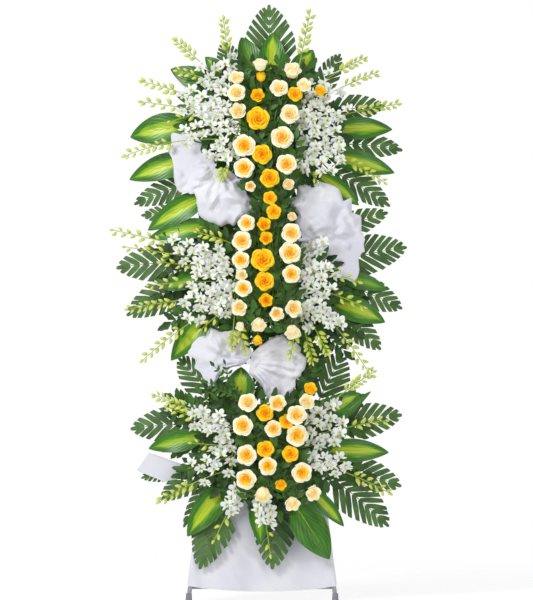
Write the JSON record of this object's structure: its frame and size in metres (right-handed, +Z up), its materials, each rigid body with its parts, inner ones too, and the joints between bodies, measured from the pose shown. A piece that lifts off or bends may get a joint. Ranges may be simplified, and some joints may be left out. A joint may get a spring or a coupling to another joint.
{
  "type": "standing funeral spray",
  "caption": "Standing spray of roses, orchids, palm fronds and striped leaves in foam banks on a steel tripod, with gathered white cloth puffs, a bow and a skirt.",
  "frame": {"origin": "on the floor, at the middle of the bounding box seen from above, between the front feet and the rear foot", "axes": "+Z up, -Y the flowered front, +X to the right as seen from the front"},
  "size_m": [0.9532, 0.72, 1.9068],
  "materials": {
    "steel": "grey metallic paint, satin",
    "foot_rubber": "matt",
    "palm": "leaf with a soft sheen and parallel veins",
    "striped_leaf": "waxy leaf, dark green with a yellow-green stripe along the middle",
    "yellow_petal": "velvety petal, golden yellow to orange",
    "cream_petal": "velvety petal, cream with a warmer heart",
    "greens": "dark leaf, satin",
    "orchid_petal": "white petal, buds yellow-green",
    "white_cloth": "matt-white woven cloth with a slight sheen",
    "foam": "wet flower foam, matt",
    "board": "matt"
  },
  "bodies": {
    "root": {"leg_left": "steel", "leg_right": "steel", "leg_rear": "steel", "stand_cap": "steel", "bar_upper": "steel", "bar_middle": "steel", "bar_waist": "steel", "bar_lower": "steel", "bar_hem": "steel", "foot_left": "foot_rubber", "foot_right": "foot_rubber", "foot_rear": "foot_rubber", "palm_top": "palm", "palm_upper_left": "palm", "palm_upper_right": "palm", "palm_middle_left": "palm", "palm_middle_right": "palm", "palm_lower_left": "palm", "palm_lower_left_hanging": "palm", "palm_bottom": "palm", "palm_lower_right": "palm", "leaves_top": "striped_leaf", "leaves_upper_left": "striped_leaf", "leaves_upper_left_low": "striped_leaf", "leaves_upper_right": "striped_leaf", "leaves_middle_left": "striped_leaf", "leaves_middle_right": "striped_leaf", "leaves_lower_left": "striped_leaf", "leaves_bottom": "striped_leaf", "leaves_lower_right": "striped_leaf", "roses_yellow_upper": "yellow_petal", "roses_yellow_middle": "yellow_petal", "roses_yellow_lower": "yellow_petal", "roses_cream_top": "cream_petal", "roses_cream_upper": "cream_petal", "roses_cream_middle": "cream_petal", "roses_cream_waist": "cream_petal", "roses_cream_lower": "cream_petal", "roses_cream_bottom": "cream_petal", "greens_upper": "greens", "greens_middle": "greens", "greens_lower": "greens", "orchids_upper_left": "orchid_petal", "orchids_upper_right": "orchid_petal", "orchids_middle_left": "orchid_petal", "orchids_middle_right": "orchid_petal", "orchids_lower_left": "orchid_petal", "orchids_lower_right": "orchid_petal", "orchids_bottom": "orchid_petal", "cloth_puff_left": "white_cloth", "cloth_puff_right": "white_cloth", "cloth_bow": "white_cloth", "cloth_tail": "white_cloth", "cloth_skirt": "white_cloth", "foam_upper": "foam", "foam_middle": "foam", "foam_lower": "foam", "board_upper": "board", "board_middle": "board", "board_lower": "board"}
  },
  "joints": []
}
